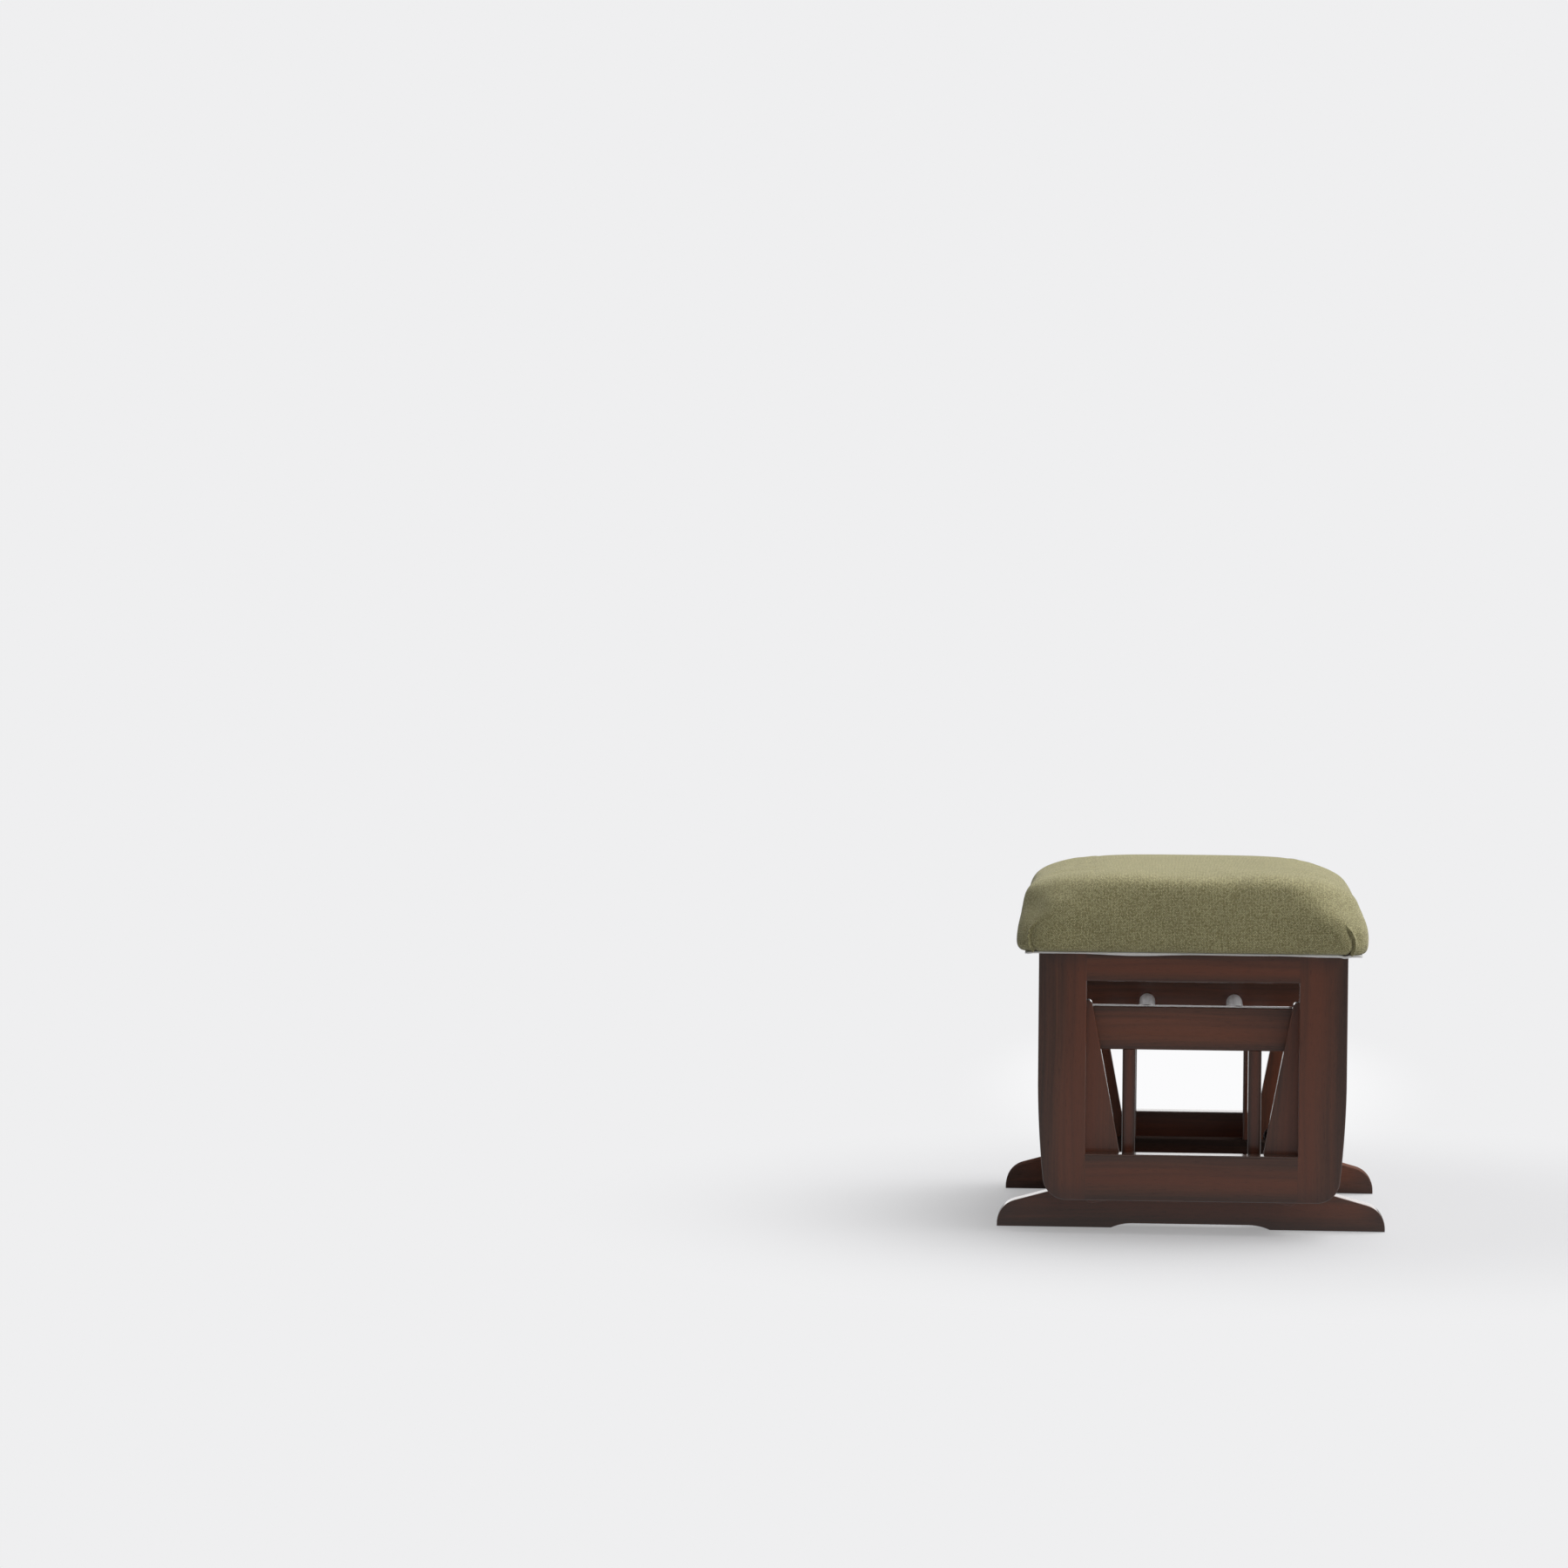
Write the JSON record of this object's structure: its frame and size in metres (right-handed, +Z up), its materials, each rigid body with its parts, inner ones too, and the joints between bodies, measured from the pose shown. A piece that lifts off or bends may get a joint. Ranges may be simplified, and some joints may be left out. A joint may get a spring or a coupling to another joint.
{
  "type": "glider ottoman",
  "caption": "Wooden glider ottoman: a padded top on two side frames that hang from a fixed base on slanting swing arms and glide to and fro over two feet.",
  "frame": {"origin": "on the floor, at the middle of the ottoman's footprint", "axes": "+X along the glide, to the right in the picture; +Y across the width, away from the viewer; +Z up"},
  "size_m": [0.42, 0.476, 0.39],
  "materials": {
    "frame_wood": "dark walnut stain under satin lacquer, edges rounded over",
    "base_wood": "dark walnut stain under satin lacquer, edges rounded over",
    "arm_wood": "dark walnut stain under satin lacquer, edges rounded over",
    "dowel_wood": "plain beech, fluted, glued in",
    "board_plywood": "plain plywood under the foam",
    "tube_steel": "light grey satin paint",
    "bolt_steel": "blackened steel",
    "screw_steel": "dark zinc",
    "zinc_steel": "bright zinc",
    "bearing_steel": "ground steel with a dark seal",
    "insert_brass": "plain turned brass",
    "lining_fabric": "thin white non-woven lining",
    "foam": "upholstery foam block",
    "cushion_fabric": "olive green woven upholstery, matt, fine basket weave"
  },
  "bodies": {
    "base": {"foot_near": "base_wood", "foot_far": "base_wood", "post_near_left": "base_wood", "post_near_right": "base_wood", "post_far_left": "base_wood", "post_far_right": "base_wood", "base_rail_near": "base_wood", "base_rail_far": "base_wood", "cross_tube_left": "tube_steel", "cross_tube_right": "tube_steel", "tube_screws": "screw_steel", "stretcher_left": "base_wood", "stretcher_right": "base_wood", "stretcher_bolts": "bolt_steel", "barrel_nuts": "zinc_steel", "stretcher_dowels": "dowel_wood", "upper_pivot_bolts": "bolt_steel", "upper_inserts": "insert_brass", "upper_spacers": "zinc_steel"},
    "arm_near_left": {"arm_near_left": "arm_wood", "bearings_near_left": "bearing_steel"},
    "arm_near_right": {"arm_near_right": "arm_wood", "bearings_near_right": "bearing_steel"},
    "arm_far_left": {"arm_far_left": "arm_wood", "bearings_far_left": "bearing_steel"},
    "arm_far_right": {"arm_far_right": "arm_wood", "bearings_far_right": "bearing_steel"},
    "glide_frame": {"stile_near_left": "frame_wood", "stile_near_right": "frame_wood", "stile_far_left": "frame_wood", "stile_far_right": "frame_wood", "top_rail_near": "frame_wood", "top_rail_far": "frame_wood", "bottom_rail_near": "frame_wood", "bottom_rail_far": "frame_wood", "frame_dowels": "dowel_wood", "cross_rail_left": "frame_wood", "cross_rail_right": "frame_wood", "cross_rail_dowels": "dowel_wood", "lower_pivot_bolts": "bolt_steel", "lower_inserts": "insert_brass", "lower_spacers": "zinc_steel", "cushion_screws": "screw_steel", "lining": "lining_fabric", "cushion_board": "board_plywood", "foam_block": "foam", "cushion": "cushion_fabric"}
  },
  "joints": [
    {"name": "glide", "type": "hinge", "parent": "base", "child": "arm_near_left", "pos_m": [-0.1255, -0.1915, 0.218], "axis": [0, -1, 0], "range_deg": [-12, 12]},
    {"name": "frame_swing", "type": "hinge", "parent": "arm_near_left", "child": "glide_frame", "pos_m": [-0.0957, -0.1915, 0.061], "axis": [0, -1, 0], "range_deg": [-15.8, 15.8]},
    {"name": "arm_far_left_swing", "type": "hinge", "parent": "base", "child": "arm_far_left", "pos_m": [-0.1255, 0.1915, 0.218], "axis": [0, -1, 0], "range_deg": [-12.1, 12.1]},
    {"name": "arm_near_right_swing", "type": "hinge", "parent": "base", "child": "arm_near_right", "pos_m": [0.1255, -0.1915, 0.218], "axis": [0, -1, 0], "range_deg": [-12.1, 12.1]},
    {"name": "arm_far_right_swing", "type": "hinge", "parent": "base", "child": "arm_far_right", "pos_m": [0.1255, 0.1915, 0.218], "axis": [0, -1, 0], "range_deg": [-12.1, 12.1]}
  ],
  "couplings": [
    {"joint": "frame_swing", "follows": "glide", "ratio": -1.3114},
    {"joint": "arm_far_left_swing", "follows": "glide", "ratio": 1},
    {"joint": "arm_near_right_swing", "follows": "glide", "ratio": 1},
    {"joint": "arm_far_right_swing", "follows": "glide", "ratio": 1}
  ]
}
